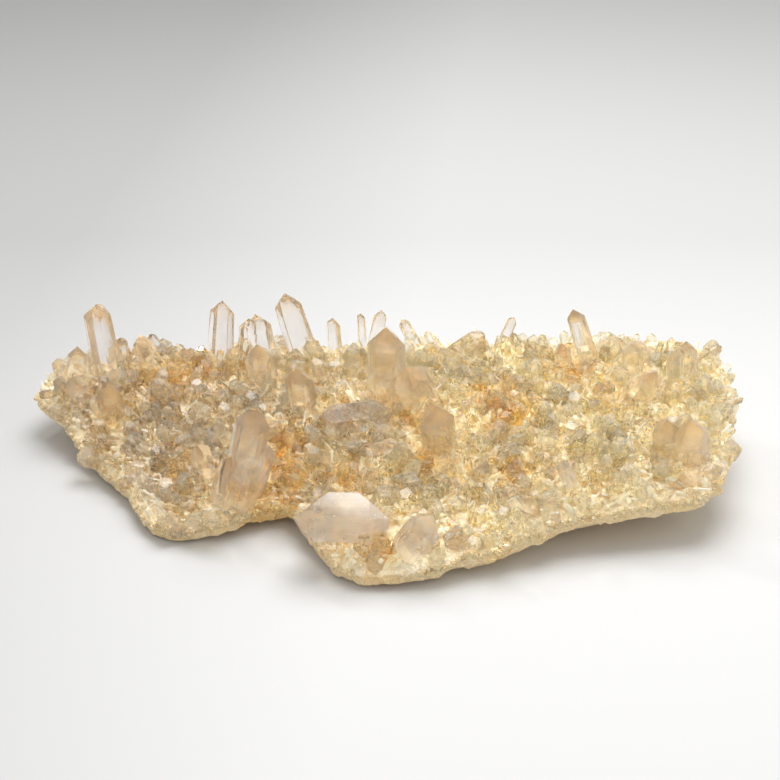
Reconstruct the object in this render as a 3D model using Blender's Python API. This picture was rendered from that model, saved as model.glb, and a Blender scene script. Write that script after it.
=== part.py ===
"""A Himalayan quartz cluster: a broad, thin-edged rock plate, crowded with quartz points.

The plate is one solid with its druse, the many small crystals that grow from it. Each large
crystal is a solid of its own, rooted in a socket of the plate or, at the rim, fitted to the
crust. Crystals that grew through each other are one solid.

Sizes are in millimetres on a working plan: x runs to the right, y away from the front edge and
z up from the table. The finished cluster moves as a whole, so that the middle of its box on the
table is the origin.
"""

import itertools
import math
import random
from dataclasses import dataclass

import bmesh
import bpy
import numpy as np
from mathutils import Matrix, Vector, geometry, noise

MM = 0.001

# The plate's broken outline on the plan, anticlockwise from the left tip.
OUTLINE = [
    (-217, 77), (-211, 66), (-198, 54), (-187, 38), (-179, 26), (-168, 12), (-160, 3),
    (-150, -11), (-143, -23), (-138, -36), (-131, -46), (-121, -52), (-106, -53), (-94, -51),
    (-83, -46), (-76, -40), (-67, -37), (-60, -37), (-53, -42), (-47, -57), (-39, -74),
    (-29, -88), (-16, -98), (5, -97), (26, -93), (39, -86), (60, -82), (70, -75), (82, -71),
    (91, -65), (104, -61), (134, -57), (151, -55), (168, -52), (180, -40), (188, -22),
    (192, 0), (198, 22), (202, 42), (205, 62), (202, 79), (195, 87), (176, 86), (158, 90),
    (129, 91), (105, 89), (80, 95), (58, 92), (37, 97), (6, 95), (-15, 99), (-37, 97),
    (-58, 102), (-74, 100), (-95, 105), (-112, 103), (-132, 106), (-150, 109), (-173, 110),
    (-195, 106), (-209, 95),
]
OUTLINE_STEP = 13.0
OUTLINE_RAGGEDNESS = 1.1

# The crust that the crystals grow from: it climbs to the back and to the right.
CRUST_MIDDLE = 35.0
CLIMB_RIGHT = 0.070
CLIMB_BACK = 0.180
EDGE_DROP = 9.0
EDGE_DROP_WIDTH = 14.0
# Swells and hollows of the crust: x, y, height, radius.
SWELLS = [
    (0, 40, 6, 55), (-120, 45, 4, 40), (95, 20, 4, 38), (-62, -18, -7, 20),
    (40, -40, -4, 28), (-172, 8, -8, 42), (205, 60, -10, 60), (-15, -70, 4, 26),
]
CRUST_ROUGHNESS = 1.5
CRUST_GRAIN = 0.075
CRUST_SPACING = 18.5

# The underside rises from a flat rest in the middle to a thin rim.
RIM_THICKNESS = 6.5
LEAST_RIM_CLEARANCE = 1.5
UNDERCUT = 1.6
BELLY_REACH = 13.0
BELLY_PER_HEIGHT = 1.1
UNDERSIDE_ROUGHNESS = 2.2
UNDERSIDE_SPACING = 32.0

# Quartz: terminal faces stand at this angle to the base, and the prism narrows a little.
TERMINAL_ANGLE = math.radians(51.8)
PRISM_TAPER = math.radians(1.3)
SEAT_GAP = 0.35

# The druse: crystals all over the crust, clear of the large ones.
DRUSE_SPACING = 15.0
DRUSE_MARGIN = 8.0
DRUSE_ROOT = 4.0
DRUSE_CLEARANCE = 0.9
SLIM_WIDTH = 9.6


@dataclass(frozen=True)
class Crystal:
    """One large crystal.

    foot is where its axis leaves the crust on the plan, and reach runs from there to its tip.
    rise lifts the foot above the crust, for a crystal that lies on it. turn is its angle about
    its own axis, and a doubly ended one has a point at its root too.
    """

    foot: tuple
    reach: tuple
    width: float
    rise: float = 0.0
    turn: float = 12.0
    root: float = 7.0
    doubly_ended: bool = False


# Each large crystal, or group of crystals grown through each other, from left to right.
GROWTHS = {
    "left_spire": [
        Crystal((-173, 84), (-3, -6, 48), 16, turn=22),
        Crystal((-164, 84), (1, -3, 25), 9, turn=5),
    ],
    "left_knob": [Crystal((-192, 79), (4, -4, 25), 10, turn=40)],
    "left_block": [Crystal((-146, 87), (-6, -3, 22), 12.5, turn=30)],
    "left_needle": [Crystal((-136, 97), (-12, -1, 18), 5.5)],
    "left_stub": [Crystal((-185, 60), (-3, -5, 20), 12)],
    "left_honey_point": [Crystal((-164, 45), (-1, -8, 23), 14, turn=35)],
    "house_point": [Crystal((-105, 93), (4, -2, 41), 14, turn=30)],
    "twin_points": [
        Crystal((-88, 91), (2, 0, 27), 11, turn=18),
        Crystal((-77, 87), (-4, -2, 32), 16, turn=40),
    ],
    "tall_back_point": [Crystal((-52, 87), (-11, -3, 43), 16, turn=28)],
    "back_stub": [Crystal((-34, 90), (-1, 0, 25), 8.5, root=5)],
    "back_needles": [
        Crystal((-17, 90), (-1, 0, 26), 5.5, root=5),
        Crystal((-10, 90), (5, 0, 27), 8, root=5, turn=33),
    ],
    "leaning_back_point": [Crystal((18, 88), (-11, 0, 22), 7.5)],
    "mid_left_point": [Crystal((-103, -18), (-2, -8, 23), 13.5)],
    "front_tower": [
        Crystal((-84, -34), (13, -6, 59), 18.5, turn=20, root=6),
        Crystal((-75, -28), (10, -3, 31), 9, turn=48, root=5),
        Crystal((-94, -35), (9, -7, 30), 9.5, root=5),
    ],
    "dull_point": [Crystal((-76, 58), (-2, -6, 28), 17, turn=34)],
    "honey_prism": [Crystal((-51, 30), (-2, -8, 30), 15, turn=25)],
    "centre_tower": [
        Crystal((-2, 27), (-1, -8, 51), 20, turn=26, root=9),
        Crystal((20, 21), (-12, -14, 33), 18.5, turn=5, root=9),
    ],
    "clear_lying_crystal": [
        Crystal((-39, 9), (41, -6, 9), 17, rise=6, turn=28, root=3, doubly_ended=True),
    ],
    "lying_crystal": [
        Crystal((5, -15), (-26, -3, -2), 11, rise=4, root=2, turn=20, doubly_ended=True),
    ],
    "blunt_honey_point": [Crystal((28, -13), (-3, -11, 34), 19, turn=42, root=9)],
    "milky_front_point": [
        Crystal((-6, -76), (-45, 0, 2), 25, rise=8, turn=30, root=6, doubly_ended=True),
    ],
    "bright_front_point": [Crystal((10, -84), (12, -7, 23), 18, turn=10, root=5)],
    "honey_front_point": [Crystal((35, -82), (-3, -7, 16), 12, root=4)],
    "bright_stub": [Crystal((48, -34), (5, -6, 15), 8)],
    "orange_point": [Crystal((70, -36), (-4, -6, 14), 9.5)],
    "curved_front_crystal": [
        Crystal((60, -53), (22, -8, -9), 14, rise=5, turn=30, root=4, doubly_ended=True),
    ],
    "bright_shard": [Crystal((100, -49), (-10, -6, 24), 8)],
    "right_ridge": [Crystal((40, 75), (17, -8, 18), 15, turn=20)],
    "skyline_leaner": [Crystal((66, 84), (9, 0, 23), 5.5)],
    "right_wedge": [Crystal((105, 57), (-5, -3, 17), 10.5, turn=50)],
    "tall_right_point": [Crystal((120, 50), (-15, -4, 44), 11, turn=25)],
    "back_lying_point": [Crystal((119, 83), (24, 0, 2), 7, rise=3, root=3)],
    "right_block": [Crystal((142, 46), (-3, -6, 28), 12.5, turn=33)],
    "right_honey_prism": [Crystal((139, 18), (10, -6, 26), 14, turn=15)],
    "far_lying_point": [Crystal((157, 80), (23, -2, 1), 8, rise=3, root=3)],
    "right_pair": [
        Crystal((167, 44), (-2, -4, 25), 10, turn=35),
        Crystal((177, 50), (-5, -4, 28), 10.5),
    ],
    "right_clear_point": [Crystal((185, 72), (14, 0, 11), 6.5, root=5)],
    "side_clear_point": [Crystal((183, 22), (19, -2, 10), 5, root=5)],
    "corner_points": [
        Crystal((152, -27), (-4, -9, 28), 14.5, turn=38),
        Crystal((166, -31), (-7, -11, 31), 17, turn=24),
        Crystal((174, -38), (-30, -9, -11), 10, rise=3, root=2),
    ],
}
# These stand too near the rim for a socket, so their feet are fitted to the crust.
FITTED_TO_CRUST = {
    "front_tower", "milky_front_point", "bright_front_point", "honey_front_point",
    "corner_points",
}

WARM_CLEAR = (0.93, 0.86, 0.76)
HONEY = (0.90, 0.74, 0.52)
MILKY = (0.92, 0.84, 0.76)
CREAM_ROCK = (0.83, 0.73, 0.56)
HONEY_GROWTHS = {
    "left_honey_point", "honey_prism", "blunt_honey_point", "right_honey_prism",
    "orange_point", "corner_points", "dull_point",
}
MILKY_GROWTHS = {"milky_front_point", "bright_front_point", "front_tower", "lying_crystal"}


def clear_scene():
    """Remove everything that the scene holds."""
    for thing in list(bpy.data.objects):
        bpy.data.objects.remove(thing, do_unlink=True)
    for group in list(bpy.data.collections):
        bpy.data.collections.remove(group)


def new_collection(name):
    """A collection of that name, linked to the scene."""
    group = bpy.data.collections.new(name)
    bpy.context.scene.collection.children.link(group)
    return group


def quartz_material(name, colour):
    """Clear quartz of the given tint."""
    material = bpy.data.materials.new(name)
    material.use_nodes = True
    shader = material.node_tree.nodes["Principled BSDF"]
    shader.inputs["Base Color"].default_value = (*colour, 1)
    shader.inputs["Roughness"].default_value = 0.08
    shader.inputs["Metallic"].default_value = 0.0
    shader.inputs["IOR"].default_value = 1.544
    shader.inputs["Transmission Weight"].default_value = 0.85
    material.diffuse_color = (*colour, 1)
    return material


def rock_material():
    """The cream vein quartz of the plate."""
    material = bpy.data.materials.new("cream_rock")
    material.use_nodes = True
    shader = material.node_tree.nodes["Principled BSDF"]
    shader.inputs["Base Color"].default_value = (*CREAM_ROCK, 1)
    shader.inputs["Roughness"].default_value = 0.55
    shader.inputs["Metallic"].default_value = 0.0
    material.diffuse_color = (*CREAM_ROCK, 1)
    return material


def rim_distance(x, y):
    """How far a place on the plan is from the plate's outline."""
    place = Vector((x, y))
    nearest = math.inf
    for start, end in zip(OUTLINE, OUTLINE[1:] + OUTLINE[:1]):
        a, b = Vector(start), Vector(end)
        on_line, share = geometry.intersect_point_line(place, a, b)
        closest = a.lerp(b, min(max(share, 0.0), 1.0))
        nearest = min(nearest, (place - closest).length)
    return nearest


def inside_outline(x, y):
    """Whether a place on the plan is on the plate."""
    crossings = 0
    for (ax, ay), (bx, by) in zip(OUTLINE, OUTLINE[1:] + OUTLINE[:1]):
        if (ay > y) != (by > y) and x < ax + (y - ay) * (bx - ax) / (by - ay):
            crossings += 1
    return crossings % 2 == 1


def smooth_crust(x, y, from_rim):
    """Height of the crust without its roughness."""
    height = CRUST_MIDDLE + CLIMB_RIGHT * x + CLIMB_BACK * y
    height -= EDGE_DROP * math.exp(-from_rim / EDGE_DROP_WIDTH)
    for swell_x, swell_y, swell, radius in SWELLS:
        away = (x - swell_x) ** 2 + (y - swell_y) ** 2
        height += swell * math.exp(-away / radius ** 2)
    return height


def crust_height(x, y):
    """Height of the crust above the table."""
    rough = noise.noise(Vector((x, y, 0)) * CRUST_GRAIN)
    return smooth_crust(x, y, rim_distance(x, y)) + CRUST_ROUGHNESS * rough


def underside_height(x, y):
    """Height of the underside: nothing over the flat rest, and rising towards the rim."""
    from_rim = rim_distance(x, y)
    rim = max(smooth_crust(x, y, 0.0) - RIM_THICKNESS, LEAST_RIM_CLEARANCE)
    rough = noise.noise(Vector((x, y, 90)) * CRUST_GRAIN * 0.6)
    belly = BELLY_REACH + BELLY_PER_HEIGHT * rim * (1 + max(x, 0) / 400) + 9 * rough
    share = max(0.0, 1 - from_rim / belly)
    lumps = UNDERSIDE_ROUGHNESS * noise.noise(Vector((x, y, 40)) * CRUST_GRAIN)
    return max(0.0, rim * share ** 1.3 + lumps * share * (1 - share) * 4)


def ragged_outline():
    """The outline in short steps, each a little off the line, as stone breaks."""
    places = random.Random(7)
    points = []
    for start, end in zip(OUTLINE, OUTLINE[1:] + OUTLINE[:1]):
        a, b = Vector(start), Vector(end)
        steps = max(1, round((b - a).length / OUTLINE_STEP))
        across = (b - a).orthogonal().normalized()
        for step in range(steps):
            shift = places.uniform(-OUTLINE_RAGGEDNESS, OUTLINE_RAGGEDNESS)
            points.append(a.lerp(b, step / steps) + across * shift)
    return points


def spread_points(spacing, margin, seed):
    """Places inside the outline, about one spacing apart and off any regular pattern."""
    places = random.Random(seed)
    row_step = spacing * math.sqrt(3) / 2
    points = []
    for row in range(math.ceil(-100 / row_step), math.ceil(112 / row_step)):
        for column in range(math.ceil(-220 / spacing), math.ceil(210 / spacing)):
            x = (column + 0.5 * (row % 2) + places.uniform(-0.3, 0.3)) * spacing
            y = row * row_step + places.uniform(-0.3, 0.3) * spacing
            if inside_outline(x, y) and rim_distance(x, y) > margin:
                points.append(Vector((x, y)))
    return points


def pulled_in(loop, distance):
    """A closed loop of plan points, each moved towards the inside of the loop."""
    moved = []
    for index, point in enumerate(loop):
        along = loop[(index + 1) % len(loop)] - loop[index - 1]
        inward = Vector((-along.y, along.x)).normalized()
        moved.append(point + inward * distance)
    return moved


def add_sheet(body, rim, inner, height):
    """Triangles over the rim loop and its inner points. Returns the new faces."""
    count = len(rim)
    loop_edges = [(index, (index + 1) % count) for index in range(count)]
    places, _, triangles, _, _, _ = geometry.delaunay_2d_cdt(
        rim + inner, loop_edges, [], 1, 0.001
    )
    corners = [body.verts.new((p.x * MM, p.y * MM, height(p.x, p.y) * MM)) for p in places]
    return [body.faces.new([corners[i] for i in triangle]) for triangle in triangles]


def border_of(faces):
    """The edges that only one face uses."""
    edges = {edge for face in faces for edge in face.edges}
    return [edge for edge in edges if edge.is_boundary]


def plate_mesh(name, grow=0.0):
    """The plate: its crust above, its underside below, and the broken rim between them."""
    body = bmesh.new()
    rim = pulled_in(ragged_outline(), -grow)
    top = add_sheet(
        body, rim, spread_points(CRUST_SPACING, 6, 3), lambda x, y: crust_height(x, y) + grow
    )
    bottom = add_sheet(
        body,
        pulled_in(rim, UNDERCUT),
        spread_points(UNDERSIDE_SPACING, 12, 5),
        lambda x, y: underside_height(x, y) - grow,
    )
    bmesh.ops.bridge_loops(body, edges=border_of(top) + border_of(bottom))
    bmesh.ops.triangulate(body, faces=body.faces)
    bmesh.ops.recalc_face_normals(body, faces=body.faces)
    mesh = bpy.data.meshes.new(name)
    body.to_mesh(mesh)
    body.free()
    return mesh


def facet_planes(width, length, habit, doubly_ended=False, minor_faces=True, grow=0.0):
    """Outward normal and distance of each face of a crystal that stands on its base.

    The prism faces stand at unequal distances from the axis. Three terminal faces meet in the
    tip, and three minor ones, which the slimmest crystals lack, cut the corners below it.
    """
    places = random.Random(habit)
    middle = length / 2
    planes = []
    for side in range(6):
        angle = math.radians(60 * side)
        around = Vector((math.cos(angle), math.sin(angle), 0))
        up = Vector((0, 0, 1))
        reach = width / 2 * places.uniform(0.84, 1.06)
        face = around * math.cos(PRISM_TAPER) + up * math.sin(PRISM_TAPER)
        planes.append((face, face.dot(around * reach + up * middle) + grow))
        set_back = places.uniform(-0.05, 0.05) if side % 2 == 0 else places.uniform(0.03, 0.2)
        if side % 2 == 1 and not minor_faces:
            continue
        slope = around * math.sin(TERMINAL_ANGLE) + up * math.cos(TERMINAL_ANGLE)
        planes.append((slope, length * slope.z + set_back * width + grow))
        if doubly_ended:
            under = Vector((slope.x, slope.y, -slope.z))
            planes.append((under, places.uniform(0.0, 0.15) * width + grow))
    planes.append((Vector((0, 0, -1)), grow))
    return planes


def corners_of(planes, merge):
    """The corners of the solid that lies behind all the planes."""
    normals = np.array([tuple(normal) for normal, _ in planes])
    distances = np.array([distance for _, distance in planes])
    triples = np.array(list(itertools.combinations(range(len(planes)), 3)))
    systems = normals[triples]
    solvable = np.abs(np.linalg.det(systems)) > 1e-6
    found = np.linalg.solve(systems[solvable], distances[triples[solvable]][..., None])[..., 0]
    behind = (found @ normals.T <= distances + 1e-6).all(axis=1)
    corners = []
    for corner in found[behind]:
        if all(np.linalg.norm(corner - other) > merge for other in corners):
            corners.append(corner)
    return corners


def crystal_mesh(name, planes, frame, merge):
    """The mesh of one crystal, set up in its frame on the plan."""
    body = bmesh.new()
    for corner in corners_of(planes, merge):
        body.verts.new(frame @ Vector(corner) * MM)
    bmesh.ops.convex_hull(body, input=body.verts)
    bmesh.ops.dissolve_limit(
        body, angle_limit=math.radians(0.3), verts=body.verts, edges=body.edges
    )
    bmesh.ops.recalc_face_normals(body, faces=body.faces)
    mesh = bpy.data.meshes.new(name)
    body.to_mesh(mesh)
    body.free()
    return mesh


def crystal_frame(start, direction, turn):
    """Where a crystal stands: its base at start, its axis along direction."""
    upright = Vector((0, 0, 1)).rotation_difference(direction).to_matrix().to_4x4()
    return Matrix.Translation(start) @ upright @ Matrix.Rotation(math.radians(turn), 4, "Z")


def foot_of(crystal):
    """The place where a large crystal's axis leaves the crust."""
    x, y = crystal.foot
    return Vector((x, y, crust_height(x, y) + crystal.rise))


def large_crystal_mesh(name, crystal, grow=0.0):
    """A large crystal with its root, or its socket if it is grown by the gap."""
    reach = Vector(crystal.reach)
    direction = reach.normalized()
    start = foot_of(crystal) - direction * crystal.root
    length = reach.length + crystal.root
    habit = f"{crystal.foot} {crystal.width}"
    planes = facet_planes(crystal.width, length, habit, crystal.doubly_ended, grow=grow)
    frame = crystal_frame(start, direction, crystal.turn)
    return crystal_mesh(name, planes, frame, crystal.width * 0.02)


def add_object(name, mesh, group, parent, material=None):
    """An object that holds the mesh, in its collection and under the cluster's origin."""
    thing = bpy.data.objects.new(name, mesh)
    group.objects.link(thing)
    thing.parent = parent
    if material:
        mesh.materials.append(material)
    return thing


def add_helper(name, mesh, group, parent):
    """An object that only joins or cuts others."""
    helper = add_object(name, mesh, group, parent)
    helper.hide_render = True
    helper.display_type = "WIRE"
    return helper


def add_boolean(thing, name, operation, other=None, group=None):
    """A Boolean of the thing with one object or with all of a collection."""
    modifier = thing.modifiers.new(name, "BOOLEAN")
    modifier.operation = operation
    modifier.solver = "EXACT"
    if group:
        modifier.operand_type = "COLLECTION"
        modifier.collection = group
    else:
        modifier.object = other
    return modifier


def growth_material(name, materials):
    """Which quartz a growth is made of."""
    if name in HONEY_GROWTHS:
        return materials["honey"]
    if name in MILKY_GROWTHS:
        return materials["milky"]
    return materials["clear"]


def build_growth(name, crystals, parts, joiners, parent, material):
    """One node: its first crystal, with the others joined to it."""
    thing = add_object(name, large_crystal_mesh(name, crystals[0]), parts, parent, material)
    for number, crystal in enumerate(crystals[1:], start=2):
        joined_name = f"{name}_joined_{number}"
        mesh = large_crystal_mesh(joined_name, crystal)
        helper = add_helper(joined_name, mesh, joiners, parent)
        add_boolean(thing, joined_name, "UNION", helper)
    return thing


def build_growths(parts, helpers, sockets, parent):
    """All the large crystals, each rooted in the plate or fitted to its crust."""
    materials = {
        "clear": quartz_material("clear_quartz", WARM_CLEAR),
        "honey": quartz_material("honey_quartz", HONEY),
        "milky": quartz_material("milky_quartz", MILKY),
    }
    raised = add_helper("raised_plate", plate_mesh("raised_plate", SEAT_GAP), helpers, parent)
    for name, crystals in GROWTHS.items():
        material = growth_material(name, materials)
        thing = build_growth(name, crystals, parts, helpers, parent, material)
        if name in FITTED_TO_CRUST:
            add_boolean(thing, "fit_to_crust", "DIFFERENCE", raised)
            continue
        for number, crystal in enumerate(crystals, start=1):
            socket_name = f"{name}_socket_{number}"
            mesh = large_crystal_mesh(socket_name, crystal, SEAT_GAP)
            add_helper(socket_name, mesh, sockets, parent)


def large_axes():
    """Root, tip and half width of each large crystal."""
    axes = []
    for crystal in itertools.chain.from_iterable(GROWTHS.values()):
        foot = foot_of(crystal)
        reach = Vector(crystal.reach)
        root = foot - reach.normalized() * crystal.root
        axes.append((root, foot + reach, crystal.width * 0.56))
    return axes


def clearance(point, axes):
    """How far a point is from the nearest large crystal's surface."""
    nearest = math.inf
    for root, tip, half_width in axes:
        on_line, share = geometry.intersect_point_line(point, root, tip)
        closest = root.lerp(tip, min(max(share, 0.0), 1.0))
        nearest = min(nearest, (point - closest).length - half_width)
    return nearest


def druse_crystals():
    """The small crystals: start, direction, length, width and turn of each."""
    places = random.Random(19)
    axes = large_axes()
    crystals = []
    for place in spread_points(DRUSE_SPACING, DRUSE_MARGIN, 11):
        foot = Vector((place.x, place.y, crust_height(place.x, place.y)))
        length = places.triangular(8, 23, 12)
        width = min(length * places.uniform(0.38, 0.62), 10.5)
        lean = math.radians(places.triangular(4, 62, 34))
        toward = places.uniform(0, math.tau)
        turn = places.uniform(0, 60)
        direction = Vector((
            math.sin(lean) * math.cos(toward), math.sin(lean) * math.sin(toward), math.cos(lean)
        ))
        start = foot - direction * DRUSE_ROOT
        whole = length + DRUSE_ROOT
        free = min(clearance(start + direction * whole * step / 6, axes) for step in range(7))
        if free > width * 0.56 + DRUSE_CLEARANCE:
            crystals.append((start, direction, whole, width, turn))
    return crystals


def build_druse(druse, parent):
    """The small crystals, as solids for the plate to take in."""
    for number, (start, direction, length, width, turn) in enumerate(druse_crystals()):
        name = f"druse_{number:03d}"
        planes = facet_planes(width, length, name, minor_faces=width > SLIM_WIDTH)
        frame = crystal_frame(start, direction, turn)
        add_helper(name, crystal_mesh(name, planes, frame, width * 0.03), druse, parent)


def centre_on_origin(parent, parts):
    """Move the cluster so that the middle of its box on the table is the origin."""
    bpy.context.view_layer.update()
    graph = bpy.context.evaluated_depsgraph_get()
    corners = []
    for thing in parts.objects:
        shape = thing.evaluated_get(graph)
        corners += [shape.matrix_world @ Vector(corner) for corner in shape.bound_box]
    for axis in range(2):
        low = min(corner[axis] for corner in corners)
        high = max(corner[axis] for corner in corners)
        parent.location[axis] = -(low + high) / 2


def build():
    """The whole cluster."""
    clear_scene()
    parts = new_collection("himalayan_quartz_cluster")
    helpers = new_collection("joining_shapes")
    druse = new_collection("druse_crystals")
    sockets = new_collection("sockets")
    origin = bpy.data.objects.new("cluster_origin", None)
    parts.objects.link(origin)
    plate = add_object("rock_plate", plate_mesh("rock_plate"), parts, origin, rock_material())
    build_druse(druse, origin)
    build_growths(parts, helpers, sockets, origin)
    add_boolean(plate, "druse", "UNION", group=druse)
    add_boolean(plate, "sockets", "DIFFERENCE", group=sockets)
    centre_on_origin(origin, parts)


build()
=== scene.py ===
"""The looks of a Himalayan quartz cluster: a cream rock plate crowded with clear quartz points.

The plate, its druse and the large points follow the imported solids, from the same sizes. Lengths
are in millimetres on the working plan, with x to the right, y to the back and z up, and turn
into metres of the shared frame when a mesh is made.
"""

import itertools
import logging
import math
import random
from collections.abc import Iterable, Iterator, Sequence
from dataclasses import dataclass, field
from enum import Enum

import bmesh
import bpy
import numpy as np
from mathutils import Matrix, Vector, geometry, noise


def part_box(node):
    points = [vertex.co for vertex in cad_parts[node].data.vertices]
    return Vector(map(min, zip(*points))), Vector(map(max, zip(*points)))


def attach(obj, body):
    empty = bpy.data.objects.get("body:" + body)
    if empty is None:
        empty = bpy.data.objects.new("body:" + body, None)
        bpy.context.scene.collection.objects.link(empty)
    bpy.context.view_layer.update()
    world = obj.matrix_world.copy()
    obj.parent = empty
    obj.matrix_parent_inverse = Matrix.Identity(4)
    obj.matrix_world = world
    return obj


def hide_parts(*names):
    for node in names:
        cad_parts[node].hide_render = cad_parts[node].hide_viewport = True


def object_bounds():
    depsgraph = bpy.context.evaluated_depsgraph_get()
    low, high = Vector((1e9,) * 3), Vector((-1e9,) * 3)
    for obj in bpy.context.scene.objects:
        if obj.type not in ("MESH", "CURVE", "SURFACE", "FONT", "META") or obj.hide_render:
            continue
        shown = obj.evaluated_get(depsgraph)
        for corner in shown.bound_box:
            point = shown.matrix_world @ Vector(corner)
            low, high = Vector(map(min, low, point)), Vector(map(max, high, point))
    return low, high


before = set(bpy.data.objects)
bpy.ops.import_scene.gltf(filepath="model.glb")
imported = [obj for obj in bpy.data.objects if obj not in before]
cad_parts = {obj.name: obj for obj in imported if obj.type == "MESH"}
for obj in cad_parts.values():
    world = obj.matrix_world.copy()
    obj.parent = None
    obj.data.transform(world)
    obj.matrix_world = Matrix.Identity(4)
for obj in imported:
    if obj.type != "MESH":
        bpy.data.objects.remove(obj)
CAD_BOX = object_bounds()
LOG = logging.getLogger("quartz_cluster")

MM = 0.001
UP = Vector((0, 0, 1))
PLATE_NODE = "rock_plate"
QUARTZ_IOR = 1.544
HALF_WIDTH = 0.56

Pair = tuple[float, float]
Triple = tuple[float, float, float]
Colour = tuple[float, float, float, float]
Spot = tuple[float, float, float, float]
Habit = tuple[float, np.ndarray, list[list[int]]]


def held(value: float, low: float = 0.0, high: float = 1.0) -> float:
    """The value held between two bounds."""
    return min(max(value, low), high)


def closest_on(start: Vector, end: Vector, place: Vector) -> tuple[Vector, float]:
    """Find the spot of a straight piece that is nearest to a place.

    Args:
        start: One end.
        end: The other.
        place: The place.

    Returns:
        The spot, and how far along the line it would lie if the line had no ends.
    """
    _, share = geometry.intersect_point_line(place, start, end)
    return start.lerp(end, held(share)), share


def walk(loop: Sequence[Vector], stride: float) -> Iterator[tuple[Vector, Vector, int]]:
    """Walk round a closed loop of places on the plan.

    Args:
        loop: The places in order.
        stride: Length of a step, about.

    Returns:
        Each side's two ends, and the steps that it takes.
    """
    for start, end in zip(loop, [*loop[1:], loop[0]]):
        yield start, end, max(1, round((end - start).length / stride))


class Quartz(Enum):
    """The kinds of quartz, each named for its slot in the record."""

    CLEAR = "clear_quartz"
    HONEY = "honey_quartz"
    MILKY = "milky_quartz"


@dataclass(frozen=True)
class Crystal:
    """One large crystal.

    foot is where its axis leaves the crust on the plan, and reach runs from there to its tip.
    rise lifts the foot above the crust, for a crystal that lies on it. turn is its angle about
    its own axis, and a doubly ended one has a point at its root too.
    """

    foot: Pair
    reach: Triple
    width: float
    rise: float = 0.0
    turn: float = 12.0
    root: float = 7.0
    doubly_ended: bool = False

    def stand(self) -> Vector:
        """The place where its axis leaves the crust."""
        x, y = self.foot
        return Vector((x, y, PLATE.crust_height(x, y) + self.rise))

    def base(self) -> Vector:
        """The place where its root ends."""
        return self.stand() - Vector(self.reach).normalized() * self.root


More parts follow.
